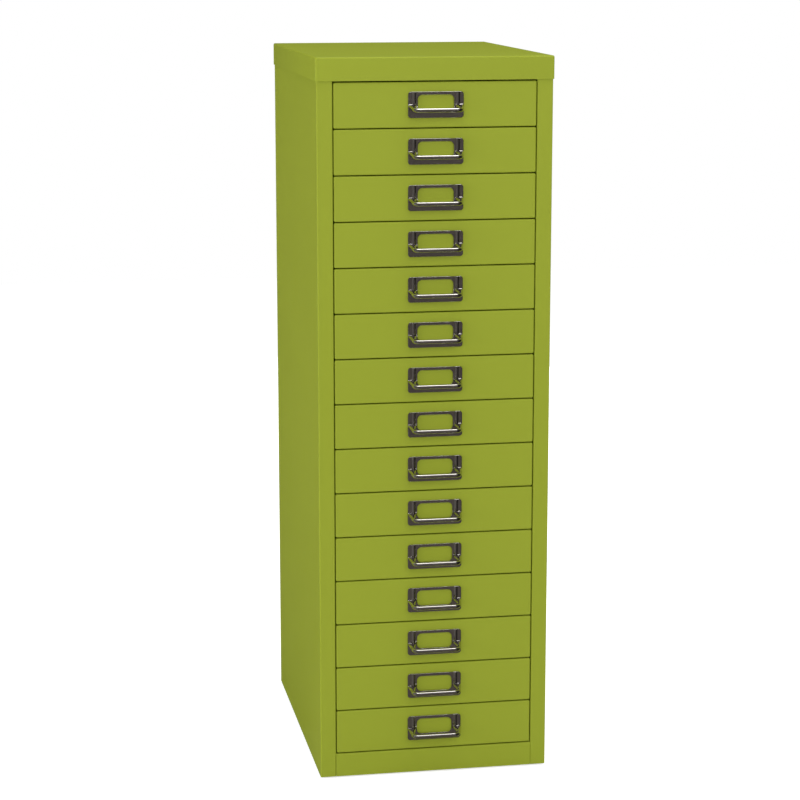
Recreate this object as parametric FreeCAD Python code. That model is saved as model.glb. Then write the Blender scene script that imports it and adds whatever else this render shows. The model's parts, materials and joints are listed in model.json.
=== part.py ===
import FreeCAD, Part
import math
import os
from FreeCAD import Vector

# Tall steel cabinet with a column of shallow drawers, each with a label-frame pull.
# Millimetres. X runs to the right, Y to the back and Z up, with the drawers facing -Y.
# The origin is on the floor, at the middle of the footprint with the pulls included.

# Overall size
cabinet_width = 279.0          # over the top cap
cabinet_depth = 380.0          # over the top cap
drawer_count = 15
drawer_pitch = 53.4            # one drawer front and one gap
base_rail_height = 29.0        # from the foot of the panels to the lowest drawer
cap_lip = 27.0                 # height of the lid's folded sides
cap_shadow_gap = 1.0           # from the lid's lip to the top drawer's space
pad_height = 2.0               # floor pads under the base

# Sheet steel
carcass_sheet = 0.9
carcass_bend = 1.05            # bend radius at the middle of the sheet
drawer_sheet = 0.8
runner_sheet = 0.8

# Lid
cap_clearance = 0.3            # all round, between the lid's lip and the body
cap_corner_radius = 2.0
crown_chamfer = 2 - math.sqrt(2)  # chamfer that touches a rounding, as a share of its radius

# Body panels
stile_width = 18.7             # front face of each side panel
stile_return = 30.0            # turned back inside the opening
rear_return = 15.0
top_flange = 12.0              # turned in under the lid
flange_relief = 3.0            # short of the corner at each end of a flange
rail_flange = 14.0             # turned back from the two front rails
rail_hem = 6.0                 # turned down behind the base rail
rail_top_gap = 0.5             # from the top rail to the lid
base_flange = 15.0             # turned up round the base
base_fit = 0.2                 # beside the panels' returns and the runners
back_fit = 1.0                 # each side of the back panel, clear of the side panels' bends

# Drawer fronts
front_gap = 1.2                # between one front and the next
front_side_gap = 0.9           # between a front and the stile
front_depth = 14.0             # folded back on four sides
front_edge_radius = 1.5

# Drawer trays
tray_length = 355.0
tray_height = 46.6             # floor to the top of its flanges
tray_side_gap = 1.0            # between a tray's side and the runner
flange_edge_gap = 1.4          # between a flange's edge and the groove's back
flange_start_gap = 1.0         # behind the folded edge of the front
rear_stop_setback = 42.0       # from the tray's back to its stops
rear_stop_length = 3.0
stop_clearance = 0.5

# Runners: grooved side linings that the tray flanges slide in
runner_groove_depth = 7.5
runner_front_gap = 2.0         # behind the drawer front's folded edge
runner_top_gap = 3.0           # below the lid
glide_pad = 1.3                # nylon above and below the flange
glide_slot_clearance = 0.25    # above and below the flange
glide_tip_clearance = 0.4      # beyond the flange's edge
glide_length = 24.0            # inside the groove
glide_head = 1.6               # ahead of the runner, where the closed front lands
glide_head_rim = 1.4           # the head's reach above and below the groove
floor_clearance = 0.2          # between a stop and the groove's floor

# Floor pads
pad_width = 24.0
pad_length = 36.0
pad_inset = 16.0               # from the body's sides, front and back
pad_bevel = 0.6

# Label frame
frame_width = 65.0
frame_height = 30.0
frame_depth = 2.0
frame_bevel = 0.8
frame_corner_radius = 2.5
window_side_band = 11.4        # metal beside the window
window_top_band = 3.5
window_bottom_band = 8.0
window_corner_radius = 3.3
card_slot_depth = 0.8
card_slot_lap = 2.0            # the card's hold beside and below the window
rib_width = 6.3
rib_height = 1.0
rib_top_gap = 1.6              # below the frame's top edge
rib_length = 12.4
rib_edge_gap = 4.2             # from the frame's side edge
frame_corner_count = 2         # flats that make one rounded corner
window_corner_count = 2
flat_limit = 1e-6              # a side this near to flat stays in one piece

# Pull
pull_reach = 19.0              # drawer front to the middle of the bar
pull_drop = 5.2                # middle of the frame to the middle of the bar
pull_bar = 5.0                 # thickness of the bar
pull_end_inset = 2.2           # from the frame's side edge to the bar's end
pull_root_width = 9.5
pull_root_thickness = 2.6
pull_root_inset = 0.3          # from the frame's side edge to the arm's edge
pull_root_drop = 1.0           # middle of the frame to the arm's root
pull_corner_radius = 5.0       # at the middle of the bar
pull_side_count = 8            # flats round the bar
pull_corner_count = 2          # flats along each bent corner
tang_width = 6.0               # the arm's end, through the front and turned up inside
tang_thickness = 1.2
tang_length = 5.0
tang_clearance = 0.15

# Places worked out from the sizes above
panel_foot = pad_height
drawers_foot = panel_foot + base_rail_height
drawers_top = drawers_foot + drawer_count * drawer_pitch
cap_foot = drawers_top + cap_shadow_gap
cabinet_height = cap_foot + cap_lip
cap_overhang = carcass_sheet + cap_clearance
cap_underside = cabinet_height - carcass_sheet

pull_front = pull_reach + pull_bar / 2
depth_with_pulls = cabinet_depth - cap_overhang + pull_front
front_face = pull_front - depth_with_pulls / 2
body_back = front_face + cabinet_depth - 2 * cap_overhang
body_half = cabinet_width / 2 - cap_overhang
opening_half = body_half - stile_width
back_panel_face = body_back - 2 * carcass_sheet

front_half = opening_half - front_side_gap
front_back_edge = front_face + front_depth
front_height = drawer_pitch - front_gap
tray_front = front_face + drawer_sheet
tray_back = tray_front + tray_length
flange_start = front_back_edge + flange_start_gap

groove_back_half = opening_half - runner_sheet
runner_half = groove_back_half - runner_groove_depth
tray_half_width = runner_half - tray_side_gap
flange_half = groove_back_half - flange_edge_gap
runner_front = front_back_edge + runner_front_gap
glide_slot = drawer_sheet + 2 * glide_slot_clearance
groove_height = glide_slot + 2 * glide_pad
glide_back = runner_front + glide_length
stop_front = tray_back - rear_stop_setback - rear_stop_length
drawer_travel = stop_front - glide_back - stop_clearance
window_width = frame_width - 2 * window_side_band
window_height = frame_height - window_top_band - window_bottom_band
tang_middle = frame_width / 2 - pull_root_inset - pull_root_width / 2

UP = Vector(0, 0, 1)
RIGHT = Vector(1, 0, 0)
BACK = Vector(0, 1, 0)


def drawer_foot(number):
    """Height at which the space of a drawer starts, with drawer 1 at the top."""
    return drawers_top - number * drawer_pitch


def tray_foot(number):
    """Height of the underside of a tray, which sits on the front's lower fold."""
    return drawer_foot(number) + front_gap / 2 + drawer_sheet


def flange_middle(number):
    """Height of the middle of a tray's flanges and of the groove they run in."""
    return tray_foot(number) + tray_height - drawer_sheet / 2


def pull_middle(number):
    """Height of the middle of a drawer's front and of its label frame."""
    return drawer_foot(number) + drawer_pitch / 2


def block(x0, x1, y0, y1, z0, z1):
    """A block between three pairs of faces."""
    return Part.makeBox(x1 - x0, y1 - y0, z1 - z0, Vector(x0, y0, z0))


def mirrored(shape):
    """The same piece on the other side of the cabinet."""
    return shape.mirror(Vector(0, 0, 0), RIGHT)


def prism(points, run):
    """A straight piece with the outline that joins the points, as long as run."""
    return Part.Face(Part.makePolygon(points + points[:1])).extrude(run)


def sheet_side(points, offset, bend, across):
    """Edges of one side of a folded sheet, offset from the line of points."""
    edges = []
    start = points[0] + across.cross(points[1] - points[0]).normalize() * offset
    for before, corner, after in zip(points, points[1:], points[2:]):
        inward = (before - corner).normalize()
        onward = (after - corner).normalize()
        half_angle = inward.getAngle(onward) / 2
        to_centre = (inward + onward).normalize()
        enter_offset = across.cross(-inward) * offset
        leave_offset = across.cross(onward) * offset
        if bend:
            trim = bend / math.tan(half_angle)
            enter = corner + inward * trim + enter_offset
            leave = corner + onward * trim + leave_offset
            centre = corner + to_centre * (bend / math.sin(half_angle))
            crown = centre - to_centre * (enter - centre).Length
            edges.append(Part.LineSegment(start, enter).toShape())
            edges.append(Part.Arc(enter, crown, leave).toShape())
            start = leave
        else:
            mitre = corner + (enter_offset + leave_offset) / (2 * math.sin(half_angle) ** 2)
            edges.append(Part.LineSegment(start, mitre).toShape())
            start = mitre
    end = points[-1] + across.cross(points[-1] - points[-2]).normalize() * offset
    edges.append(Part.LineSegment(start, end).toShape())
    return edges


def folded(points, sheet, bend, run):
    """Sheet metal folded along the line of points and as long as run.

    The points lie at the middle of the sheet. Each corner between them is bent to the
    radius bend, or is a sharp mitre where bend is 0.
    """
    across = Vector(run).normalize()
    one = sheet_side(points, sheet / 2, bend, across)
    other = sheet_side(points, -sheet / 2, bend, across)
    edges = one + other
    for end in (0, -1):
        edges.append(Part.LineSegment(one[end].Vertexes[end].Point,
                                      other[end].Vertexes[end].Point).toShape())
    outline = Part.Wire(Part.__sortEdges__(edges))
    return Part.Face(outline).extrude(run)


def rounded_outline(width, height, radius, flats, middle):
    """Points round an upright rectangle whose corners are each made of a few flats."""
    points = []
    for quarter in range(4):
        turn = math.pi / 2 * quarter
        across = 1 if quarter in (0, 3) else -1
        up = 1 if quarter in (0, 1) else -1
        centre = middle + Vector(across * (width / 2 - radius), 0, up * (height / 2 - radius))
        for step in range(flats + 1):
            angle = turn + math.pi / 2 * step / flats
            points.append(centre + Vector(math.cos(angle), 0, math.sin(angle)) * radius)
    return points


def flat(points):
    """A flat face with the points as its corners."""
    return Part.Face(Part.makePolygon(points + points[:1]))


def skinned(rings):
    """A solid whose flat sides join the points of each ring to those of the next."""
    faces = [flat(rings[0]), flat(rings[-1])]
    for ring, following in zip(rings, rings[1:]):
        for a, b, c, d in zip(ring, ring[1:] + ring[:1], following[1:] + following[:1], following):
            if abs((b - a).cross(c - a) * (d - a)) < flat_limit:
                faces.append(flat([a, b, c, d]))
            else:
                faces.append(flat([a, b, c]))
                faces.append(flat([a, c, d]))
    shell = Part.makeShell(faces)
    shell.sewShape()
    return Part.makeSolid(shell)


# Lid: a folded sheet that drops over the body, rounded on every outside edge
def top_cap():
    half = cabinet_width / 2
    front = front_face - cap_overhang
    outer = block(-half, half, front, front + cabinet_depth, cap_foot, cabinet_height)
    inner = block(-half + carcass_sheet, half - carcass_sheet,
                  front + carcass_sheet, front + cabinet_depth - carcass_sheet,
                  cap_foot, cap_underside)
    inner_chamfer = (cap_corner_radius - carcass_sheet) * crown_chamfer
    outer = outer.makeFillet(cap_corner_radius, upper_edges(outer))
    inner = inner.makeChamfer(inner_chamfer, upper_edges(inner))
    return outer.cut(inner)


def upper_edges(lid):
    """The upright edges of the lid's block and those round its top."""
    return [edge for edge in lid.Edges if edge.BoundBox.ZMax > cap_foot + cap_corner_radius]


# Side panel: stile and return at the front, flange under the lid, return at the back
def side_panel():
    half_sheet = carcass_sheet / 2
    wall = body_half - half_sheet
    stile = front_face + half_sheet
    rear = body_back - half_sheet
    inner = opening_half + half_sheet
    plan = [
        Vector(inner, front_face + stile_return, panel_foot),
        Vector(inner, stile, panel_foot),
        Vector(wall, stile, panel_foot),
        Vector(wall, rear, panel_foot),
        Vector(body_half - rear_return, rear, panel_foot),
    ]
    wall_top = cap_underside - half_sheet - carcass_bend
    panel = folded(plan, carcass_sheet, carcass_bend, UP * (wall_top - panel_foot))
    flange_front = front_face + flange_relief
    flange_rear = body_back - rear_return
    rise = [
        Vector(wall, flange_front, wall_top - flange_relief),
        Vector(wall, flange_front, cap_underside - half_sheet),
        Vector(body_half - top_flange, flange_front, cap_underside - half_sheet),
    ]
    flange = folded(rise, carcass_sheet, carcass_bend, BACK * (flange_rear - flange_front))
    seat = block(opening_half - base_fit, opening_half + carcass_sheet + base_fit,
                 front_face + carcass_sheet, front_face + stile_return + base_fit,
                 panel_foot, panel_foot + carcass_sheet)
    return panel.fuse(flange).cut(seat).removeSplitter()


# Back panel: a plain sheet welded inside the side panels' returns
def back_panel():
    half_sheet = carcass_sheet / 2
    half_width = body_half - carcass_sheet - back_fit
    sheet = back_panel_face + half_sheet
    side = [
        Vector(-half_width, sheet, panel_foot),
        Vector(-half_width, sheet, cap_underside - half_sheet),
        Vector(-half_width, sheet - top_flange, cap_underside - half_sheet),
    ]
    return folded(side, carcass_sheet, carcass_bend, RIGHT * 2 * half_width)


# Base: a pan with its four edges turned up inside the panels
def base_pan():
    half_sheet = carcass_sheet / 2
    floor = panel_foot + half_sheet
    rim = panel_foot + base_flange
    half_width = runner_half - base_fit
    front = front_face + carcass_sheet + half_sheet
    rear = back_panel_face - half_sheet
    front_to_back = [
        Vector(-half_width, front, rim),
        Vector(-half_width, front, floor),
        Vector(-half_width, rear, floor),
        Vector(-half_width, rear, rim),
    ]
    side = body_half - carcass_sheet - half_sheet
    flange_front = front_face + flange_relief
    side_to_side = [
        Vector(-side, flange_front, rim),
        Vector(-side, flange_front, floor),
        Vector(side, flange_front, floor),
        Vector(side, flange_front, rim),
    ]
    length = back_panel_face - flange_relief - flange_front
    pan = folded(front_to_back, carcass_sheet, 0, RIGHT * 2 * half_width)
    sides = folded(side_to_side, carcass_sheet, 0, BACK * length)
    return pan.fuse(sides).removeSplitter()


# Rail between the stiles below the lowest drawer
def base_rail():
    half_sheet = carcass_sheet / 2
    top = drawers_foot - front_gap / 2 - half_sheet
    face = front_face + half_sheet
    rear = front_face + rail_flange - half_sheet
    side = [
        Vector(-opening_half, rear, top - rail_hem),
        Vector(-opening_half, rear, top),
        Vector(-opening_half, face, top),
        Vector(-opening_half, face, panel_foot),
    ]
    return folded(side, carcass_sheet, carcass_bend, RIGHT * 2 * opening_half)


# Rail between the stiles behind the lid's lip
def top_rail():
    half_sheet = carcass_sheet / 2
    foot = cap_foot + front_gap + half_sheet
    top = cap_underside - rail_top_gap - half_sheet
    face = front_face + half_sheet
    rear = front_face + rail_flange
    side = [
        Vector(-opening_half, rear, foot),
        Vector(-opening_half, face, foot),
        Vector(-opening_half, face, top),
        Vector(-opening_half, rear, top),
    ]
    return folded(side, carcass_sheet, 0, RIGHT * 2 * opening_half)


# Runner: one sheet pressed into a groove for each drawer, flat between the grooves
def runner():
    half_sheet = runner_sheet / 2
    web = runner_half + half_sheet
    groove = groove_back_half + half_sheet
    reach = groove_height / 2 + half_sheet
    line = [Vector(web, runner_front, panel_foot + carcass_sheet)]
    for number in range(drawer_count, 0, -1):
        middle = flange_middle(number)
        line.append(Vector(web, runner_front, middle - reach))
        line.append(Vector(groove, runner_front, middle - reach))
        line.append(Vector(groove, runner_front, middle + reach))
        line.append(Vector(web, runner_front, middle + reach))
    line.append(Vector(web, runner_front, cap_underside - runner_top_gap))
    return folded(line, runner_sheet, 0, BACK * (back_panel_face - runner_front))


# Nylon glides: a slotted insert in the front of each groove, with a head that the
# closed drawer front lands on and a tail that stops the opened drawer
def glide(number):
    middle = flange_middle(number)
    slot_end = flange_half + glide_tip_clearance
    head_rim = groove_height / 2 + glide_head_rim
    head_front = runner_front - glide_head
    tail = block(runner_half, groove_back_half, runner_front, glide_back,
                 middle - groove_height / 2, middle + groove_height / 2)
    head = block(runner_half, groove_back_half, head_front, runner_front,
                 middle - head_rim, middle + head_rim)
    slot = block(runner_half, slot_end, head_front, glide_back,
                 middle - glide_slot / 2, middle + glide_slot / 2)
    return tail.fuse(head).cut(slot).removeSplitter()


def glides():
    return [glide(number) for number in range(1, drawer_count + 1)]


# Floor pads: four bevelled plastic pads under the base
def floor_pads():
    pads = []
    x = body_half - pad_inset - pad_width / 2
    front = front_face + pad_inset + pad_length / 2
    rear = body_back - pad_inset - pad_length / 2
    for middle in (Vector(-x, front), Vector(x, front), Vector(-x, rear), Vector(x, rear)):
        pad = block(middle.x - pad_width / 2, middle.x + pad_width / 2,
                    middle.y - pad_length / 2, middle.y + pad_length / 2, 0, pad_height)
        foot = [edge for edge in pad.Edges if edge.BoundBox.ZMax < pad_height / 2]
        pads.append(pad.makeChamfer(pad_bevel, foot))
    return pads


def tang_slots(number):
    """Slots for the two ends of the pull, through the frame, the front and the tray."""
    x = tang_middle
    z = pull_middle(number) - pull_root_drop
    half_width = tang_width / 2 + tang_clearance
    half_thickness = tang_thickness / 2 + tang_clearance
    slot = block(x - half_width, x + half_width, front_face - frame_depth,
                 tray_front + drawer_sheet, z - half_thickness, z + half_thickness)
    return slot.fuse(mirrored(slot))


# Tray: floor and sides folded from one sheet, flanges turned out along the top
def tray(number):
    half_sheet = drawer_sheet / 2
    foot = tray_foot(number)
    top = foot + tray_height
    wall = tray_half_width - half_sheet
    section = [
        Vector(-flange_half, tray_front, top - half_sheet),
        Vector(-wall, tray_front, top - half_sheet),
        Vector(-wall, tray_front, foot + half_sheet),
        Vector(wall, tray_front, foot + half_sheet),
        Vector(wall, tray_front, top - half_sheet),
        Vector(flange_half, tray_front, top - half_sheet),
    ]
    body = folded(section, drawer_sheet, 0, BACK * tray_length)
    front_wall = block(-wall, wall, tray_front, tray_front + drawer_sheet, foot + half_sheet, top)
    rear_wall = block(-wall, wall, tray_back - drawer_sheet, tray_back, foot + half_sheet, top)
    stop = block(tray_half_width + drawer_sheet, flange_half,
                 stop_front, stop_front + rear_stop_length,
                 flange_middle(number) - groove_height / 2 + floor_clearance, top - half_sheet)
    cut = block(tray_half_width, flange_half, tray_front, flange_start,
                top - 2 * drawer_sheet, top)
    body = body.fuse([front_wall, rear_wall, stop, mirrored(stop)])
    return body.cut([cut, mirrored(cut), tang_slots(number)]).removeSplitter()


# Drawer front: a shallow pan with rounded edges, folded back on four sides
def drawer_front(number):
    foot = drawer_foot(number) + front_gap / 2
    top = foot + front_height
    pan = block(-front_half, front_half, front_face, front_back_edge, foot, top)
    rim = [edge for edge in pan.Edges if edge.BoundBox.YMax < front_face + front_edge_radius]
    hollow = block(-front_half + drawer_sheet, front_half - drawer_sheet,
                   front_face + drawer_sheet, front_back_edge,
                   foot + drawer_sheet, top - drawer_sheet)
    return pan.makeFillet(front_edge_radius, rim).cut([hollow, tang_slots(number)])


# Label frame: a pressed plate with a window, a slot for the card behind it and two ribs
def label_frame(number):
    middle = pull_middle(number)
    shoulder = front_face - frame_depth + frame_bevel
    face = front_face - frame_depth
    rim = [
        rounded_outline(frame_width, frame_height, frame_corner_radius,
                        frame_corner_count, Vector(0, y, middle))
        for y in (front_face, shoulder)
    ]
    crest = rounded_outline(frame_width - 2 * frame_bevel, frame_height - 2 * frame_bevel,
                            frame_corner_radius - frame_bevel,
                            frame_corner_count, Vector(0, face, middle))
    plate = skinned(rim + [crest])
    window_top = middle + frame_height / 2 - window_top_band
    window = rounded_outline(window_width, window_height, window_corner_radius,
                             window_corner_count, Vector(0, face, window_top - window_height / 2))
    card_half = window_width / 2 + card_slot_lap
    card_slot = block(-card_half, card_half, front_face - card_slot_depth, front_face,
                      window_top - window_height - card_slot_lap, middle + frame_height / 2)
    plate = plate.cut([prism(window, BACK * frame_depth), card_slot, tang_slots(number)])
    return plate.fuse([rib(number), mirrored(rib(number))]).removeSplitter()


def rib(number):
    """Raised rib with sloping sides, down the label frame from its top to the pull's arm."""
    outer = frame_width / 2 - rib_edge_gap
    inner = outer - rib_width
    top = pull_middle(number) + frame_height / 2 - rib_top_gap
    foot = top - rib_length
    face = front_face - frame_depth
    return Part.makeWedge(inner + rib_height, face - rib_height, foot + rib_height, foot, inner,
                          outer - rib_height, face, top - rib_height, top, outer)


# Pull: flat arms that draw in to a round bar, in one piece with two tangs
def pull(number):
    middle = pull_middle(number)
    bow = skinned(pull_rings(middle))
    z = middle - pull_root_drop
    shank = block(tang_middle - tang_width / 2, tang_middle + tang_width / 2,
                  front_face - frame_depth, tray_front + drawer_sheet + tang_thickness,
                  z - tang_thickness / 2, z + tang_thickness / 2)
    turned_up = block(tang_middle - tang_width / 2, tang_middle + tang_width / 2,
                      tray_front + drawer_sheet, tray_front + drawer_sheet + tang_thickness,
                      z - tang_thickness / 2, z - tang_thickness / 2 + tang_length)
    tang = shank.fuse(turned_up)
    return bow.fuse([tang, mirrored(tang)]).removeSplitter()


def pull_rings(middle):
    """Rings of points round the pull, from the left arm's root to the right arm's."""
    bar_y = front_face - pull_reach
    bar_z = middle - pull_drop
    root_z = middle - pull_root_drop
    root = Vector(-tang_middle, front_face - frame_depth, root_z)
    arm_x = -(frame_width / 2 - pull_end_inset - pull_bar / 2)
    bend_y = bar_y + pull_corner_radius
    root_half = Vector(pull_root_width / 2, 0, pull_root_thickness / 2)
    bar_half = Vector(pull_bar / 2, 0, pull_bar / 2)
    left = [(root, root_half, 0.0)]
    for step in range(pull_corner_count + 1):
        turn = math.pi / 2 * step / pull_corner_count
        y = bend_y - pull_corner_radius * math.sin(turn)
        x = arm_x + pull_corner_radius * (1 - math.cos(turn))
        share = (root.y - y) / (root.y - bar_y)
        left.append((Vector(x, y, root_z + (bar_z - root_z) * share), bar_half, turn))
    rings = [pull_ring(*place) for place in left]
    return rings + [[Vector(-p.x, p.y, p.z) for p in ring] for ring in reversed(rings)]


def pull_ring(centre, half, turn):
    """Points round the pull where it heads forward, turned towards the bar by turn."""
    ring = []
    reach = 1 / math.cos(math.pi / pull_side_count)
    for side in range(pull_side_count):
        angle = 2 * math.pi * (side + 0.5) / pull_side_count
        out = half.x * reach * math.cos(angle)
        up = half.z * reach * math.sin(angle)
        ring.append(centre + Vector(out * math.cos(turn), out * math.sin(turn), up))
    return ring


def export(name, pieces):
    """Writes one node, which may be a group of separate pieces."""
    shape = pieces if isinstance(pieces, Part.Shape) else Part.makeCompound(pieces)
    for solid in shape.Solids:
        if not solid.isValid():
            raise ValueError(name + " has a faulty solid")
    shape.exportStep(os.path.join("parts", name + ".step"))


def main():
    os.makedirs("parts", exist_ok=True)
    export("top_cap", top_cap())
    export("right_side_panel", side_panel())
    export("left_side_panel", mirrored(side_panel()))
    export("back_panel", back_panel())
    export("base_pan", base_pan())
    export("base_rail", base_rail())
    export("top_rail", top_rail())
    export("right_runner", runner())
    export("left_runner", mirrored(runner()))
    export("right_glides", glides())
    export("left_glides", [mirrored(piece) for piece in glides()])
    export("floor_pads", floor_pads())
    for number in range(1, drawer_count + 1):
        drawer = "drawer_%02d_" % number
        export(drawer + "tray", tray(number))
        export(drawer + "front", drawer_front(number))
        export(drawer + "handle", [label_frame(number), pull(number)])
    print("height", cabinet_height, "depth with pulls", depth_with_pulls)
    print("drawer travel", drawer_travel)


main()
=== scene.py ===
import json
import math

import bpy
import numpy as np
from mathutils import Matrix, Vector

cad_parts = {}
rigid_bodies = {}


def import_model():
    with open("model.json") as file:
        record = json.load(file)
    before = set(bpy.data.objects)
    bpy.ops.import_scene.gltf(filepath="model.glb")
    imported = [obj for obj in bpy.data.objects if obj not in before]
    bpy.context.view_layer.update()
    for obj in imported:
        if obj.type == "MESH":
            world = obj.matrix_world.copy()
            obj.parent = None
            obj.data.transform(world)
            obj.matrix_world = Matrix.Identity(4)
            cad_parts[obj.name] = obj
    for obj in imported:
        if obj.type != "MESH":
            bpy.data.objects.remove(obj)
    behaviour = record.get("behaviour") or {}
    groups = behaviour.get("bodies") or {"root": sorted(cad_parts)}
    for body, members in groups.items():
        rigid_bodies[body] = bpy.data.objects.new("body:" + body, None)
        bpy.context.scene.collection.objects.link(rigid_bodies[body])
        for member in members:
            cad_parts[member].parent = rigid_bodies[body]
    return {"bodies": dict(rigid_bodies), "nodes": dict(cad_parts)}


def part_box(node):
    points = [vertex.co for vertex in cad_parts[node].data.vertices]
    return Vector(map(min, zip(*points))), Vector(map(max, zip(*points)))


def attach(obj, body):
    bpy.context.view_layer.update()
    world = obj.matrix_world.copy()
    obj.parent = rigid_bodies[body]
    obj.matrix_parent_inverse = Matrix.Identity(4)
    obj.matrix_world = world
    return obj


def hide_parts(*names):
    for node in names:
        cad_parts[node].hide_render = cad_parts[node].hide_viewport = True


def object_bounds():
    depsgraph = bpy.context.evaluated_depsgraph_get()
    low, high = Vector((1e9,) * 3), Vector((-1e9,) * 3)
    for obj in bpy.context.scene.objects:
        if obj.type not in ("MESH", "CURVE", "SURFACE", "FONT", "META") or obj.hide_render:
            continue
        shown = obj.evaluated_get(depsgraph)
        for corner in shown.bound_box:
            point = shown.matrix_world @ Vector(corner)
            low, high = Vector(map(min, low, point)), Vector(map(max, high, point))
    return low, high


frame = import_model()
CAD_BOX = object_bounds()

bl_info = {
    "name": "Multi-drawer cabinet",
    "version": (1, 0, 0),
    "blender": (4, 5, 0),
    "location": "View3D > Sidebar > Cabinet",
    "description": "Dresses a tall steel cabinet with a column of shallow drawers",
    "category": "Object",
}

# Every length is in metres, in the cabinet's own frame: X to the right, Y to the back, Z up
MM = 0.001
DRAWERS = [body for body in frame["bodies"] if body.startswith("drawer_")]

# Curves: how finely they are divided
QUARTER = math.pi / 2
BEND_STEPS = 6                  # round a folded edge
CORNER_STEPS = 6                # round a corner of an outline
EDGE_STEPS = 5                  # round the plate's rolled edges
FLANK_STEPS = 8                 # across a rib's flank
SECTION_POINTS = 28             # round the pull
ROOT_STEPS = 6                  # along the fillet where an arm grows from the plate
ARM_POINTS = 16                 # along each of the pull's arms, and along each of its bends
SHARP_ANGLE = math.radians(38)  # a steeper edge than this stays crisp

# Details of the sheets and the handle that nobody would change
PAN_STRIP = 0.2 * MM            # beside a fold, it keeps the flat plane
PLATE_STRIP = 0.15 * MM         # the same beside a rolled edge of the label plate
SUNK = 0.3 * MM                 # how deep a rib or an arm starts inside the plate
SLOT_SHARES = (0.12, 0.13, 0.87, 0.88)  # along the plate's top: the card slot's two ends
ROOT_SQUARENESS = 5.0           # section of an arm's root: nearly a rectangle
BAR_SQUARENESS = 2.0            # section of the bar: a circle

# Finishes: the two values between which a roughness varies, and the sizes of the patterns
PAINT = "Satin_powder_coat"
PAINT_ROUGHNESS = (0.46, 0.54)
PAINT_SHINE = 0.18              # a satin coat reflects less than a polished one
PAINT_CLOUDS = 120 * MM         # across which the coat's thickness drifts
PLATE = "Polished_chrome_plate"
PLATE_ROUGHNESS = (0.07, 0.16)
WIPING_MARKS = 9 * MM           # length of the marks that polishing leaves, from side to side
WIPING_STRETCH = (1.0, 6.0, 9.0)  # how much finer they are along each axis
RELIEF = 0.02 * MM              # depth of the paint's ripple and of the marks
GRAIN_RELIEF = 0.05 * MM        # depth of the grain on plastic
GRAIN_ROUGHNESS = 0.06          # how far that grain varies the roughness

# Studio: where each softbox stands, and its width and height
SOFTBOXES = {
    "Overhead": ((0.0, -0.4, 2.7), 1.6, 1.2),
    "Key": ((0.6, -3.2, 1.9), 2.4, 1.6),
    "Left": ((-2.2, -0.5, 0.5), 1.2, 1.6),
    "Right": ((2.2, 0.4, 1.0), 1.2, 1.6),
    "Back": ((0.9, 2.4, 0.45), 1.6, 0.8),
}
SENSOR = 36                     # width of the camera's sensor, in millimetres
FLOOR_REACH = 4.0               # from the middle of the floor to its sides
PAPER = 0.8                     # share of light that the floor's paper returns
PAPER_GLOW = 0.66               # brings the lit paper to white for the eye

# The tent's cloths, and the radius and height of each circle from its foot to its opening
CLOTHS = (("Grey_wall_cloth", "#57514E"), ("Grey_floor_cloth", "#59534F"),
          ("Pale_cloth", "#696663"), ("Black_cloth", "#2B2927"), ("Charcoal_cloth", "#303030"))
WALL, FLOOR, PALE, BLACK, CHARCOAL = range(len(CLOTHS))
TENT = np.array([(0.05, 0.0005), (0.9, 0.0005), (1.6, 0.02), (1.7, 1.5), (1.0, 2.35)])
TENT_AROUND = 72                # faces round each circle
# From each circle to the next: the front cloth, and how many degrees to each side it reaches
TENT_FRONT = ((FLOOR, 20), (FLOOR, 20), (WALL, 26), (WALL, 26))
TENT_BACK = 92                  # degrees from the front at which the back cloth starts


def linear(code):
    """Scene-linear red, green and blue of an sRGB hex colour."""
    srgb = np.array([int(code[i:i + 2], 16) for i in (1, 3, 5)]) / 255
    low = srgb / 12.92
    high = ((srgb + 0.055) / 1.055) ** 2.4
    return tuple(np.where(srgb <= 0.04045, low, high).tolist())


def colour_property(name, code, description):
    """A colour that a user can change."""
    return bpy.props.FloatVectorProperty(
        name=name, description=description, subtype="COLOR", size=3,
        min=0.0, max=1.0, default=linear(code))


def length_property(name, millimetres, description):
    """A length that a user can change."""
    return bpy.props.FloatProperty(
        name=name, description=description, subtype="DISTANCE", unit="LENGTH",
        default=millimetres * MM)


def angle_property(name, degrees, description):
    """An angle that a user can change."""
    return bpy.props.FloatProperty(
        name=name, description=description, subtype="ANGLE", default=math.radians(degrees))


def power_property(name, watts, where):
    """The power of a softbox, which a user can change."""
    return bpy.props.FloatProperty(
        name=name, description=f"Power of the softbox {where}", unit="POWER", default=watts)


class CabinetFinish(bpy.types.PropertyGroup):
    """Colours of the paint, the plating and the plastics."""
    paint: colour_property("Paint", "#98A42E", "Powder coat on every sheet of the cabinet")
    paint_shade: colour_property("Paint shade", "#95A12C", "The coat where it lies thicker")
    plate: colour_property("Plating", "#C5C2BE", "Nickel and chrome on the label frames and pulls")
    nylon: colour_property("Nylon", "#DEDBCF", "Undyed nylon of the glides")
    pad: colour_property("Pads", "#2A2A2B", "Floor pads")
    peel: length_property("Orange peel", 3.5, "Distance between the ripples of the paint")


class SheetSizes(bpy.types.PropertyGroup):
    """Sheet thicknesses and bends of the lid and the drawer fronts."""
    lid_sheet: length_property("Lid sheet", 0.9, "Thickness of the lid")
    lid_bend: length_property("Lid bend", 2.0, "Outside radius of the lid's folds")
    front_sheet: length_property("Front sheet", 0.8, "Thickness of a drawer front")
    front_bend: length_property("Front bend", 1.5, "Outside radius of a drawer front's folds")


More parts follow.
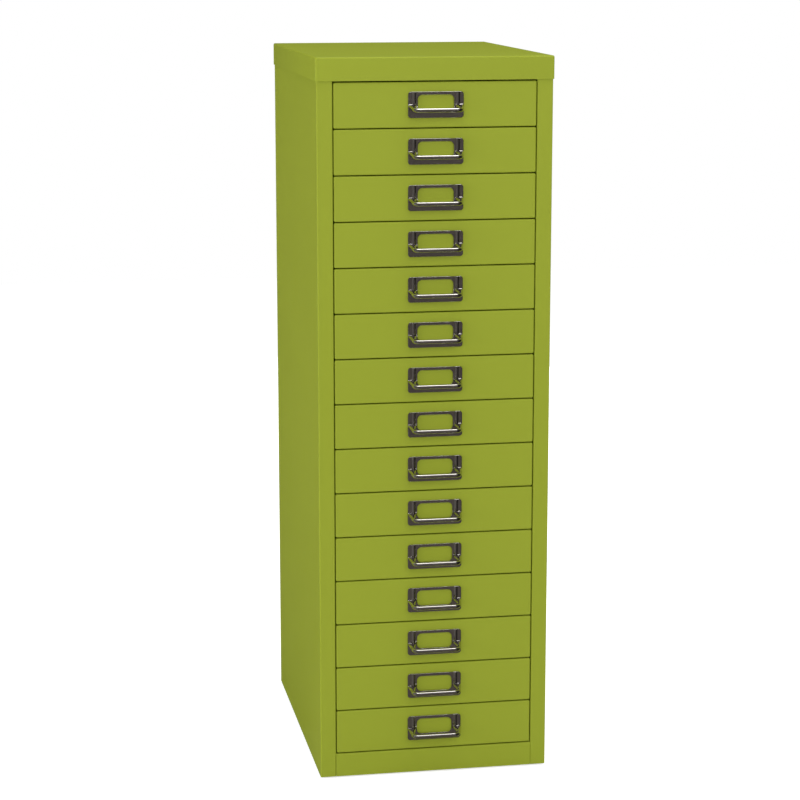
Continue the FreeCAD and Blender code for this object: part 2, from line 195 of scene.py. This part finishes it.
class LabelFrameSizes(bpy.types.PropertyGroup):
    """The pressed plate round each label window, with its ribs."""
    thickness: length_property("Depth", 2.0, "How far the plate stands off the drawer front")
    edge: length_property("Edge", 0.5, "Radius of the plate's outer edge")
    corner: length_property("Corner", 3.3, "Radius of the plate's corners")
    window_width: length_property("Window width", 42.2, "Width of the label window")
    window_height: length_property("Window height", 18.5, "Height of the label window")
    window_corner: length_property("Window corner", 5.3, "Radius of the window's corners")
    window_edge: length_property("Window edge", 0.5, "Radius of the window's rolled edge")
    top_band: length_property("Top band", 3.5, "Metal above the window")
    card_slot: length_property("Card slot", 0.8, "Room for the card behind the plate")
    card_lap: length_property("Card lap", 2.0, "How far the plate holds the card's edges")
    rib_width: length_property("Rib width", 4.8, "Width of a rib")
    rib_length: length_property("Rib length", 15.6, "Length of a rib, down into the arm's root")
    rib_height: length_property("Rib height", 1.0, "How far a rib stands off the plate")
    rib_flank: length_property("Rib flank", 2.1, "Width of a rib's sloping sides")
    rib_edge_gap: length_property("Rib edge gap", 4.5, "From the plate's side edge to a rib")
    rib_top_gap: length_property("Rib top gap", 0.4, "From the plate's top edge to a rib")


class PullSizes(bpy.types.PropertyGroup):
    """The bow that the fingers hold."""
    reach: length_property("Reach", 19.0, "Drawer front to the middle of the bar")
    drop: length_property("Drop", 5.2, "How far the bar hangs below the middle of the plate")
    bar: length_property("Bar", 5.0, "Thickness of the bar")
    end_inset: length_property("End inset", 2.2, "Plate's side edge to the end of the bar")
    corner: length_property("Corner", 6.5, "Radius of each bend at the middle of the bar")
    root_width: length_property("Root width", 9.5, "Width of an arm where it leaves the plate")
    root_thickness: length_property("Root thickness", 2.6, "Thickness of an arm there")
    root_inset: length_property("Root inset", 0.3, "Plate's side edge to the edge of an arm")
    root_drop: length_property("Root drop", 1.0, "How far an arm's root is below that middle")
    root_fillet: length_property("Root fillet", 0.4, "Radius where an arm grows from the plate")
    tang_width: length_property("Tang width", 6.0, "Width of the end turned up inside")
    tang_thickness: length_property("Tang thickness", 1.2, "Thickness of that end")
    tang_edge: length_property("Tang edge", 0.25, "Radius of its long edges")
    tang_bend: length_property("Tang bend", 0.9, "Radius of its bend, at mid thickness")
    tang_length: length_property("Tang length", 5.0, "How far that end stands up")


class StageSettings(bpy.types.PropertyGroup):
    """Camera, lamps and background."""
    camera: bpy.props.FloatVectorProperty(
        name="Camera", description="Where the camera stands", subtype="XYZ", unit="LENGTH",
        size=3, default=(-0.5097, -2.7795, 0.9886))
    heading: angle_property("Heading", 10.202, "How far the camera is turned to the right")
    tilt: angle_property("Tilt", 11.276, "How far the camera looks down")
    focal_length: bpy.props.FloatProperty(
        name="Focal length", description=f"Lens on a {SENSOR} mm sensor", unit="CAMERA",
        default=103.5)
    sky: bpy.props.FloatProperty(
        name="Room light", description="Even light from all round", default=0.45)
    overhead: power_property("Overhead", 23.0, "over the lid")
    key: power_property("Key", 38.0, "in front")
    left: power_property("Left", 27.0, "on the left")
    right: power_property("Right", 11.0, "on the right")
    back: power_property("Back", 18.0, "behind")


def settings():
    """The values in the sidebar."""
    return bpy.context.scene.cabinet


# Surfaces

def rounded_loop(width, height, radius, stations=()):
    """Points round a rectangle with quarter circles for corners, anticlockwise from the right.

    A corner's point is its centre plus the radius at equal steps through a quarter turn. The
    side after each corner is divided at the stations, each a share of the side's length.
    """
    turn = np.arange(4)[:, None] * QUARTER + np.linspace(0, QUARTER, CORNER_STEPS + 1)
    centre = np.array([[1, 1], [-1, 1], [-1, -1], [1, -1]])
    centre = centre * [width / 2 - radius, height / 2 - radius]
    arcs = centre[:, None] + radius * np.stack([np.cos(turn), np.sin(turn)], axis=-1)
    start = arcs[:, -1][:, None]
    end = np.roll(arcs[:, 0], -1, axis=0)[:, None]
    share = np.array(stations).reshape(-1, 1)
    sides = start + (end - start) * share
    return np.concatenate([arcs, sides], axis=1).reshape(-1, 2)


def skin(rows, closed=False):
    """Points and faces of the surface through rows of points, each row a closed loop.

    Four-sided faces join each row to the next. The last row joins the first where closed, and
    flat faces fill the first and last rows otherwise. Faces look outwards where the rows run
    anticlockwise for an eye that stands before the first row and looks along the rest.
    """
    count, around = rows.shape[:2]
    index = np.arange(count * around).reshape(count, around)
    here = index if closed else index[:-1]
    there = np.roll(index, -1, axis=0)[:len(here)]
    quads = [here, there, np.roll(there, -1, axis=1), np.roll(here, -1, axis=1)]
    faces = np.stack(quads, axis=-1).reshape(-1, 4).tolist()
    if not closed:
        faces += [index[0].tolist(), index[-1][::-1].tolist()]
    return rows.reshape(-1, 3), faces


def joined(parts):
    """Points and faces of several surfaces as one."""
    points, faces, start = [], [], 0
    for part_points, part_faces in parts:
        points.append(part_points)
        faces += [[corner + start for corner in face] for face in part_faces]
        start += len(part_points)
    return np.concatenate(points), faces


def mirrored(surface):
    """The same surface on the other side of X = 0, with its faces turned to look outwards."""
    points, faces = surface
    return points * [-1, 1, 1], [face[::-1] for face in faces]


def new_piece(name, surface, material, body, node):
    """A mesh object that stands for one node, rides on its body and has its finish."""
    points, faces = surface
    mesh = bpy.data.meshes.new(name)
    mesh.from_pydata(points.tolist(), [], faces)
    mesh.polygons.foreach_set("use_smooth", np.ones(len(mesh.polygons), bool))
    mesh.set_sharp_from_angle(angle=SHARP_ANGLE)
    mesh.materials.append(material)
    piece = bpy.data.objects.new(name, mesh)
    bpy.context.scene.collection.objects.link(piece)
    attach(piece, body)
    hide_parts(node)
    return piece


def folded_pan(width, height, depth, sheet, bend):
    """Rows of points of a shallow pan folded from sheet: across, up and back from its face.

    A row is the pan's outline, drawn in by an inset and set back by a depth. Along the outer
    skin the inset is the bend radius times one minus the sine of the turn, and the depth the
    radius times one minus its cosine. The inner skin is the same with the sheet's thickness
    added to both and taken from the radius. A narrow flat strip keeps each face plane.
    """
    turn = np.linspace(0, QUARTER, BEND_STEPS + 1)
    quarter_circle = np.stack([1 - np.sin(turn), 1 - np.cos(turn)], axis=-1)
    outer = bend * quarter_circle
    inner = (bend - sheet) * quarter_circle + sheet
    past_bend = bend + PAN_STRIP
    profile = np.concatenate([
        [[past_bend, 0.0]], outer, [[0.0, past_bend], [0.0, depth], [sheet, depth]],
        [[sheet, past_bend]], inner[::-1], [[past_bend, sheet]]])
    corner = past_bend + PAN_STRIP
    rows = [
        np.column_stack([rounded_loop(width - 2 * inset, height - 2 * inset, corner - inset),
                         np.full(4 * (CORNER_STEPS + 1), back)])
        for inset, back in profile]
    return np.array(rows)


# Materials

def add_node(tree, kind, inputs=None, **choices):
    """Adds a node with its choices, and sets or links its inputs, named or numbered."""
    node = tree.nodes.new(kind)
    for name, choice in choices.items():
        setattr(node, name, choice)
    for name, value in (inputs or {}).items():
        if isinstance(value, bpy.types.NodeSocket):
            tree.links.new(value, node.inputs[name])
        else:
            node.inputs[name].default_value = value
    return node


def new_material(name):
    """An empty material and its tree of nodes."""
    material = bpy.data.materials.new(name)
    material.use_nodes = True
    material.node_tree.nodes.clear()
    return material, material.node_tree


def powder_coat():
    """Powder coat, baked on steel: satin, with the faint ripple that the melted powder sets in."""
    finish = settings().finish
    material, tree = new_material(PAINT)
    place = add_node(tree, "ShaderNodeTexCoord").outputs["Object"]
    broad = add_node(tree, "ShaderNodeTexNoise",
                     {"Vector": place, "Scale": 1 / PAINT_CLOUDS, "Detail": 3.0,
                      "Roughness": 0.55})
    coat = add_node(tree, "ShaderNodeMix",
                    {"Factor": broad.outputs["Fac"], "A": (*finish.paint_shade, 1),
                     "B": (*finish.paint, 1)}, data_type="RGBA")
    # The real ripple is about 1 mm across and is drawn coarser, so that it shows
    peel = add_node(tree, "ShaderNodeTexNoise",
                    {"Vector": place, "Scale": 1 / finish.peel, "Detail": 2.0})
    bump = add_node(tree, "ShaderNodeBump",
                    {"Height": peel.outputs["Fac"], "Strength": 0.25, "Distance": RELIEF})
    smooth, rough = PAINT_ROUGHNESS
    gloss = add_node(tree, "ShaderNodeMapRange",
                     {"Value": broad.outputs["Fac"], "To Min": smooth, "To Max": rough})
    shader = add_node(tree, "ShaderNodeBsdfPrincipled",
                      {"Base Color": coat.outputs["Result"], "Roughness": gloss.outputs["Result"],
                       "Specular IOR Level": PAINT_SHINE, "Normal": bump.outputs["Normal"]})
    add_node(tree, "ShaderNodeOutputMaterial", {"Surface": shader.outputs[0]})
    return material


def bright_plate():
    """Nickel and chrome plate on polished steel: a dark mirror with faint wiping marks."""
    material, tree = new_material(PLATE)
    place = add_node(tree, "ShaderNodeTexCoord").outputs["Object"]
    wiped = add_node(tree, "ShaderNodeMapping", {"Vector": place, "Scale": WIPING_STRETCH})
    marks = add_node(tree, "ShaderNodeTexNoise",
                     {"Vector": wiped.outputs["Vector"], "Scale": 1 / WIPING_MARKS,
                      "Detail": 4.0})
    smooth, rough = PLATE_ROUGHNESS
    gloss = add_node(tree, "ShaderNodeMapRange",
                     {"Value": marks.outputs["Fac"], "To Min": smooth, "To Max": rough})
    bump = add_node(tree, "ShaderNodeBump",
                    {"Height": marks.outputs["Fac"], "Strength": 0.1, "Distance": RELIEF})
    shader = add_node(tree, "ShaderNodeBsdfPrincipled",
                      {"Base Color": (*settings().finish.plate, 1), "Metallic": 1.0,
                       "Roughness": gloss.outputs["Result"], "Normal": bump.outputs["Normal"]})
    add_node(tree, "ShaderNodeOutputMaterial", {"Surface": shader.outputs[0]})
    return material


def moulded_plastic(name, colour, roughness, grain):
    """Moulded plastic: an even colour, half matt, with the mould's fine grain."""
    material, tree = new_material(name)
    place = add_node(tree, "ShaderNodeTexCoord").outputs["Object"]
    noise = add_node(tree, "ShaderNodeTexNoise",
                     {"Vector": place, "Scale": 1 / grain, "Detail": 3.0})
    bump = add_node(tree, "ShaderNodeBump",
                    {"Height": noise.outputs["Fac"], "Strength": 0.3, "Distance": GRAIN_RELIEF})
    gloss = add_node(tree, "ShaderNodeMapRange",
                     {"Value": noise.outputs["Fac"], "To Min": roughness - GRAIN_ROUGHNESS,
                      "To Max": roughness + GRAIN_ROUGHNESS})
    shader = add_node(tree, "ShaderNodeBsdfPrincipled",
                      {"Base Color": (*colour, 1), "Roughness": gloss.outputs["Result"],
                       "Normal": bump.outputs["Normal"]})
    add_node(tree, "ShaderNodeOutputMaterial", {"Surface": shader.outputs[0]})
    return material


def finished(name, make):
    """The material of that name, made the first time that it is asked for."""
    return bpy.data.materials.get(name) or make()


def dress(node, material):
    """Gives a node as it was packed a new finish."""
    for place in frame["nodes"][node].material_slots:
        place.material = material
    mesh = frame["nodes"][node].data
    mesh.polygons.foreach_set("use_smooth", np.ones(len(mesh.polygons), bool))


# Handle

def label_plate(width, height):
    """The pressed plate: one closed surface, over its face and back behind it.

    Each row is a rounded rectangle. From the rim the rows climb the outer edge on a quarter
    circle, cross the face to the window, go down its rolled edge on another quarter circle,
    and return behind the plate round the space for the card, which is open at the top.
    """
    sizes = settings().label_frame
    turn = np.linspace(0, QUARTER, EDGE_STEPS + 1)
    rise = (height - sizes.window_height) / 2 - sizes.top_band

    def row(round_window, step, off):
        """A row a step inside the plate's outline or outside the window's, off the front."""
        if round_window:
            loop = rounded_loop(sizes.window_width + 2 * step, sizes.window_height + 2 * step,
                                sizes.window_corner + step, SLOT_SHARES) + [0, rise]
        else:
            loop = rounded_loop(width - 2 * step, height - 2 * step,
                                sizes.corner - step, SLOT_SHARES)
        return np.column_stack([loop[:, 0], np.full(len(loop), -off), loop[:, 1]])

    rows = [row(False, 0.0, 0.0)]
    rows += [row(False, sizes.edge * (1 - math.cos(a)),
                 sizes.thickness - sizes.edge * (1 - math.sin(a))) for a in turn]
    rows.append(row(False, sizes.edge + PLATE_STRIP, sizes.thickness))
    rows.append(row(True, sizes.window_edge + PLATE_STRIP, sizes.thickness))
    rows += [row(True, sizes.window_edge * (1 - math.sin(a)),
                 sizes.thickness - sizes.window_edge * (1 - math.cos(a))) for a in turn]
    rows.append(row(True, 0.0, sizes.card_slot))
    # Behind the plate: the card's space runs out through the rim between the slot's two ends,
    # which are the middle two of the points on the top side
    opened = np.zeros(4 * (CORNER_STEPS + 1 + len(SLOT_SHARES)), bool)
    opened[CORNER_STEPS + 2:CORNER_STEPS + 4] = True
    pocket = row(True, sizes.card_lap, sizes.card_slot)
    top = pocket[:, 2] > rise + sizes.window_height / 2
    pocket[top, 2] = height / 2 - PLATE_STRIP
    shoulder = pocket.copy()
    shoulder[:, 1] = np.where(opened, -sizes.card_slot, 0.0)
    rows += [pocket, shoulder]
    rows[0][opened, 1] = -sizes.card_slot
    return skin(np.array(rows)[::-1], closed=True)


def rib(width, height):
    """The right rib: a flat-topped ridge from near the plate's top edge into the pull's root.

    Its section is drawn in by equal steps across each flank, and raised by its height times
    the eased share of those steps. The rows are that section at the rib's two ends.
    """
    sizes = settings().label_frame
    middle = (width - sizes.rib_width) / 2 - sizes.rib_edge_gap
    share = np.linspace(0, 1, FLANK_STEPS + 1)
    across = np.concatenate([[0], sizes.rib_flank * share]) - sizes.rib_width / 2
    off = np.concatenate([[-SUNK], sizes.rib_height * eased(share)]) + sizes.thickness
    across = np.concatenate([across, -across[::-1]]) + middle
    off = np.concatenate([off, off[::-1]])
    top = height / 2 - sizes.rib_top_gap
    rows = [np.column_stack([across, -off, np.full(len(off), level)])
            for level in (top, top - sizes.rib_length)]
    return skin(np.array(rows))


def swept(centre, heading, half_across, half_up, squareness):
    """A bar carried along a path, with its section upright and square to the path's heading.

    At each place its section is a superellipse: across is the cosine and up the sine of the
    angle, each raised to two over the squareness, with its sign kept, and times its half size.
    """
    angle = -2 * math.pi * np.arange(SECTION_POINTS) / SECTION_POINTS
    power = 2 / squareness[:, None]
    across = np.sign(np.cos(angle)) * np.abs(np.cos(angle)) ** power * half_across[:, None]
    up = np.sign(np.sin(angle)) * np.abs(np.sin(angle)) ** power * half_up[:, None]
    sideways = np.stack([np.cos(heading), np.sin(heading), np.zeros(len(heading))], axis=-1)
    rows = centre[:, None] + across[:, :, None] * sideways[:, None]
    rows[:, :, 2] += up
    return skin(rows)


def eased(share):
    """A share from 0 to 1 that starts and ends level: three squares less two cubes."""
    return share * share * (3 - 2 * share)


def pull_bow(width):
    """The bow: flat arms that draw in to a round bar, on one path from root to root.

    The left half of the path runs forward from the plate and turns to the right on a quarter
    circle. Its height and its section ease from the root's to the bar's. A fillet widens the
    first stretch by its radius times one minus the square root of the share times two less
    the share, and sideways by no more than up to the plate's edge. The right half is the left
    one mirrored.
    """
    sizes = settings().pull
    plate = settings().label_frame.thickness
    arm = sizes.reach - plate - sizes.corner
    forward = np.concatenate([np.linspace(-SUNK, sizes.root_fillet, ROOT_STEPS + 1)[:-1],
                              np.linspace(sizes.root_fillet, arm, ARM_POINTS)])
    bend = np.linspace(0, QUARTER, ARM_POINTS)[1:]
    heading = np.concatenate([np.zeros(len(forward)), bend])
    distance = np.concatenate([forward, arm + sizes.corner * np.sin(bend)])
    inward = np.concatenate([np.zeros(len(forward)), sizes.corner * (1 - np.cos(bend))])
    narrowing = eased(np.clip(distance / arm, 0, 1))
    falling = eased(np.clip(distance / (sizes.reach - plate), 0, 1))
    root_x = width / 2 - sizes.root_inset - sizes.root_width / 2
    arm_x = width / 2 - sizes.end_inset - sizes.bar / 2
    centre = np.stack([
        inward - root_x - (arm_x - root_x) * narrowing,
        -plate - distance,
        -sizes.root_drop - (sizes.drop - sizes.root_drop) * falling], axis=-1)
    early = np.clip(distance / sizes.root_fillet, 0, 1)
    fillet = sizes.root_fillet * (1 - np.sqrt(early * (2 - early)))
    half_across = (sizes.root_width + (sizes.bar - sizes.root_width) * narrowing) / 2
    half_across += np.minimum(fillet, sizes.root_inset)
    half_up = (sizes.root_thickness + (sizes.bar - sizes.root_thickness) * narrowing) / 2 + fillet
    squareness = ROOT_SQUARENESS + (BAR_SQUARENESS - ROOT_SQUARENESS) * narrowing
    back = slice(None, None, -1)
    return swept(np.concatenate([centre, centre[back] * [-1, 1, 1]]),
                 np.concatenate([heading, math.pi - heading[back]]),
                 np.concatenate([half_across, half_across[back]]),
                 np.concatenate([half_up, half_up[back]]),
                 np.concatenate([squareness, squareness[back]]))


def tang(width):
    """The left arm's flat end: through the front, then turned up on a small bend.

    Its path is straight back, round a quarter circle and straight up, with the same slender
    section all the way, which turns with the path.
    """
    sizes = settings().pull
    sheet = settings().sheets.front_sheet
    half = sizes.tang_thickness / 2
    x = -(width / 2 - sizes.root_inset - sizes.root_width / 2)
    inside = 2 * sheet + half
    turn = np.linspace(0, QUARTER, BEND_STEPS + 1)
    start = -settings().label_frame.thickness
    y = np.concatenate([[start], inside - sizes.tang_bend * (1 - np.sin(turn)), [inside]])
    z = np.concatenate([[0], sizes.tang_bend * (1 - np.cos(turn)), [sizes.tang_length - half]])
    lean = np.concatenate([[0], turn, [QUARTER]])
    loop = rounded_loop(sizes.tang_width, sizes.tang_thickness, sizes.tang_edge)
    rows = np.empty((len(y), len(loop), 3))
    rows[:, :, 0] = x + loop[:, 0]
    rows[:, :, 1] = y[:, None] - loop[:, 1] * np.sin(lean)[:, None]
    rows[:, :, 2] = z[:, None] + loop[:, 1] * np.cos(lean)[:, None] - sizes.root_drop
    return skin(rows)


# Operators

class CABINET_OT_lid(bpy.types.Operator):
    """Folds the lid over the body"""
    bl_idname = "cabinet.lid"
    bl_label = "Lid"

    def execute(self, context):
        sizes = settings().sheets
        low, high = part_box("top_cap")
        pan = folded_pan(high.x - low.x, high.y - low.y, high.z - low.z,
                         sizes.lid_sheet, sizes.lid_bend)
        rows = pan * [1, 1, -1] + [(low.x + high.x) / 2, (low.y + high.y) / 2, high.z]
        new_piece("lid", skin(rows), finished(PAINT, powder_coat),
                  "cabinet", "top_cap")
        return {"FINISHED"}


class CABINET_OT_body(bpy.types.Operator):
    """Coats the folded sheets of the body and the drawer trays"""
    bl_idname = "cabinet.body"
    bl_label = "Body and trays"

    def execute(self, context):
        paint = finished(PAINT, powder_coat)
        for node in ("right_side_panel", "left_side_panel", "back_panel", "base_pan",
                     "base_rail", "top_rail", "right_runner", "left_runner"):
            dress(node, paint)
        for drawer in DRAWERS:
            dress(drawer + "_tray", paint)
        return {"FINISHED"}


class CABINET_OT_drawer_fronts(bpy.types.Operator):
    """Folds the drawer fronts"""
    bl_idname = "cabinet.drawer_fronts"
    bl_label = "Drawer fronts"

    def execute(self, context):
        sizes = settings().sheets
        for drawer in DRAWERS:
            low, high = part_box(drawer + "_front")
            pan = folded_pan(high.x - low.x, high.z - low.z, high.y - low.y,
                             sizes.front_sheet, sizes.front_bend)
            rows = pan[:, :, [0, 2, 1]] + [(low.x + high.x) / 2, low.y, (low.z + high.z) / 2]
            new_piece(drawer + "_folded_front", skin(rows), finished(PAINT, powder_coat),
                      drawer, drawer + "_front")
        return {"FINISHED"}


class CABINET_OT_handles(bpy.types.Operator):
    """Makes the label frames with their pulls"""
    bl_idname = "cabinet.handles"
    bl_label = "Label frames and pulls"

    def execute(self, context):
        for drawer in DRAWERS:
            low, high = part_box(drawer + "_handle")
            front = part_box(drawer + "_front")[0].y
            width, height = high.x - low.x, high.z - low.z
            right_rib, left_tang = rib(width, height), tang(width)
            points, faces = joined([label_plate(width, height), right_rib, mirrored(right_rib),
                                    pull_bow(width), left_tang, mirrored(left_tang)])
            points = points + [(low.x + high.x) / 2, front, (low.z + high.z) / 2]
            new_piece(drawer + "_label_pull", (points, faces), finished(PLATE, bright_plate),
                      drawer, drawer + "_handle")
        return {"FINISHED"}


class CABINET_OT_plastics(bpy.types.Operator):
    """Finishes the nylon glides and the floor pads"""
    bl_idname = "cabinet.plastics"
    bl_label = "Glides and pads"

    def execute(self, context):
        finish = settings().finish
        nylon = moulded_plastic("Moulded_nylon", finish.nylon,
                                roughness=0.42, grain=0.8 * MM)
        pads = moulded_plastic("Moulded_polythene", finish.pad,
                               roughness=0.55, grain=1.2 * MM)
        dress("right_glides", nylon)
        dress("left_glides", nylon)
        dress("floor_pads", pads)
        return {"FINISHED"}


# Stage

def point_at(thing, place, target):
    """Puts a camera or a lamp at a place, turned towards a target."""
    thing.location = place
    thing.rotation_mode = "QUATERNION"
    thing.rotation_quaternion = (Vector(target) - Vector(place)).to_track_quat("-Z", "Y")


def softbox(name, place, target, width, height, power):
    """An area lamp that the camera doesn't see."""
    light = bpy.data.lights.new(name, "AREA")
    light.shape = "RECTANGLE"
    light.size, light.size_y = width, height
    light.energy = power
    lamp = bpy.data.objects.new(name, light)
    bpy.context.scene.collection.objects.link(lamp)
    point_at(lamp, place, target)
    lamp.visible_camera = False
    return lamp


def seen_directly(tree):
    """1 for what the camera sees, also in a reflection or through glass, 0 for plain light."""
    rays = add_node(tree, "ShaderNodeLightPath").outputs
    either = add_node(tree, "ShaderNodeMath",
                      {0: rays["Is Camera Ray"], 1: rays["Is Glossy Ray"]}, operation="MAXIMUM")
    any_of = add_node(tree, "ShaderNodeMath",
                      {0: either.outputs[0], 1: rays["Is Transmission Ray"]},
                      operation="MAXIMUM")
    return any_of.outputs[0]


def stage_piece(name, points, faces, materials):
    """A piece of the studio, which isn't part of the cabinet."""
    mesh = bpy.data.meshes.new(name)
    mesh.from_pydata(points, [], faces)
    for material in materials:
        mesh.materials.append(material)
    piece = bpy.data.objects.new(name, mesh)
    bpy.context.scene.collection.objects.link(piece)
    return piece


def white_room(strength):
    """White wherever the eye meets it, also in metal, and a plain even light otherwise."""
    world = bpy.data.worlds.new("Studio")
    world.use_nodes = True
    tree = world.node_tree
    tree.nodes.clear()
    lit = add_node(tree, "ShaderNodeBackground", {"Color": (1, 1, 1, 1), "Strength": strength})
    white = add_node(tree, "ShaderNodeBackground", {"Color": (1, 1, 1, 1), "Strength": 1.0})
    either = add_node(tree, "ShaderNodeMixShader",
                      {0: seen_directly(tree), 1: lit.outputs[0], 2: white.outputs[0]})
    add_node(tree, "ShaderNodeOutputWorld", {"Surface": either.outputs[0]})
    return world


def pale_paper():
    """Seamless white paper: it fades into the room and keeps the shadow under the cabinet."""
    material, tree = new_material("Pale_paper")
    paper = add_node(tree, "ShaderNodeBsdfDiffuse", {"Color": (PAPER, PAPER, PAPER, 1)})
    glow = add_node(tree, "ShaderNodeEmission", {"Color": (1, 1, 1, 1), "Strength": PAPER_GLOW})
    both = add_node(tree, "ShaderNodeAddShader", {0: paper.outputs[0], 1: glow.outputs[0]})
    either = add_node(tree, "ShaderNodeMixShader",
                      {0: seen_directly(tree), 1: paper.outputs[0], 2: both.outputs[0]})
    add_node(tree, "ShaderNodeOutputMaterial", {"Surface": either.outputs[0]})
    return material


def cloth(name, colour):
    """Plain matt cloth."""
    material, tree = new_material(name)
    weave = add_node(tree, "ShaderNodeBsdfDiffuse", {"Color": (*linear(colour), 1)})
    add_node(tree, "ShaderNodeOutputMaterial", {"Surface": weave.outputs[0]})
    return material


def tent():
    """Cloth round the cabinet, open above, that shows in nothing but reflections.

    Each row is a circle of a radius and height of its own: along the floor, up the wall and
    in towards the opening. The cloth is grey in front, paler on the left, black on the right
    and charcoal behind. That gives the plating its dark body, its bright upper edges and the
    light and the dark line down each rib, and lets the paint keep its colour where it is
    seen edge on.
    """
    turn = 360 * np.arange(TENT_AROUND) / TENT_AROUND
    angle = np.radians(turn)
    circle = np.stack([np.sin(angle), -np.cos(angle), np.zeros(TENT_AROUND)], axis=-1)
    rows = TENT[:, 0, None, None] * circle + TENT[:, 1, None, None] * [0, 0, 1]
    points, faces = skin(rows)
    # The last two faces would close it, below and above
    piece = stage_piece("tent", points.tolist(), faces[:-2],
                        [cloth(name, colour) for name, colour in CLOTHS])
    aside = np.minimum(turn, 360 - turn)
    bands = [np.select([aside > TENT_BACK, (aside > edge) & (turn < 180), aside > edge],
                       [CHARCOAL, BLACK, PALE], front)
             for front, edge in TENT_FRONT]
    piece.data.polygons.foreach_set("material_index", np.concatenate(bands))
    for ray in ("camera", "diffuse", "transmission", "shadow"):
        setattr(piece, "visible_" + ray, False)


class CABINET_OT_stage(bpy.types.Operator):
    """Sets the floor, the background, the lamps and the camera"""
    bl_idname = "cabinet.stage"
    bl_label = "Stage"

    def execute(self, context):
        stage = settings().stage
        scene = context.scene
        scene.view_settings.view_transform = "Standard"
        scene.world = white_room(stage.sky)
        corners = [(FLOOR_REACH * x, FLOOR_REACH * y, 0)
                   for x, y in ((-1, -1), (1, -1), (1, 1), (-1, 1))]
        stage_piece("floor", corners, [(0, 1, 2, 3)], [pale_paper()])
        tent()

        middle = (CAD_BOX[0] + CAD_BOX[1]) / 2
        for name, (place, width, height) in SOFTBOXES.items():
            softbox(name, place, middle, width, height, getattr(stage, name.lower()))

        lens = bpy.data.cameras.new("Camera")
        lens.sensor_width = SENSOR
        lens.lens = stage.focal_length
        camera = bpy.data.objects.new("Camera", lens)
        scene.collection.objects.link(camera)
        place = Vector(stage.camera)
        ahead = Vector((math.sin(stage.heading) * math.cos(stage.tilt),
                        math.cos(stage.heading) * math.cos(stage.tilt),
                        -math.sin(stage.tilt)))
        point_at(camera, place, place + ahead)
        scene.camera = camera
        return {"FINISHED"}


class CABINET_PT_panel(bpy.types.Panel):
    """Lists the cabinet's pieces and their sizes"""
    bl_idname = "CABINET_PT_panel"
    bl_label = "Multi-drawer cabinet"
    bl_space_type = "VIEW_3D"
    bl_region_type = "UI"
    bl_category = "Cabinet"

    def draw(self, context):
        for operator in OPERATORS:
            self.layout.operator(operator.bl_idname)
        for group in ("finish", "sheets", "label_frame", "pull", "stage"):
            box = self.layout.box()
            values = getattr(settings(), group)
            for name in values.bl_rna.properties.keys():
                if name not in ("rna_type", "name"):
                    box.prop(values, name)


class CabinetSettings(bpy.types.PropertyGroup):
    """Everything that the sidebar offers."""
    finish: bpy.props.PointerProperty(type=CabinetFinish)
    sheets: bpy.props.PointerProperty(type=SheetSizes)
    label_frame: bpy.props.PointerProperty(type=LabelFrameSizes)
    pull: bpy.props.PointerProperty(type=PullSizes)
    stage: bpy.props.PointerProperty(type=StageSettings)


OPERATORS = (CABINET_OT_lid, CABINET_OT_body, CABINET_OT_drawer_fronts, CABINET_OT_handles,
             CABINET_OT_plastics, CABINET_OT_stage)
CLASSES = (CabinetFinish, SheetSizes, LabelFrameSizes, PullSizes, StageSettings,
           CabinetSettings, *OPERATORS, CABINET_PT_panel)


def register():
    """Makes the classes known and gives each scene its settings."""
    for cls in CLASSES:
        bpy.utils.register_class(cls)
    bpy.types.Scene.cabinet = bpy.props.PointerProperty(type=CabinetSettings)


def unregister():
    """Takes both away again, in the other order."""
    del bpy.types.Scene.cabinet
    for cls in reversed(CLASSES):
        bpy.utils.unregister_class(cls)


def main():
    """Builds every piece in order."""
    register()
    for operator in OPERATORS:
        group, name = operator.bl_idname.split(".")
        getattr(getattr(bpy.ops, group), name)()


if __name__ == "__main__":
    main()
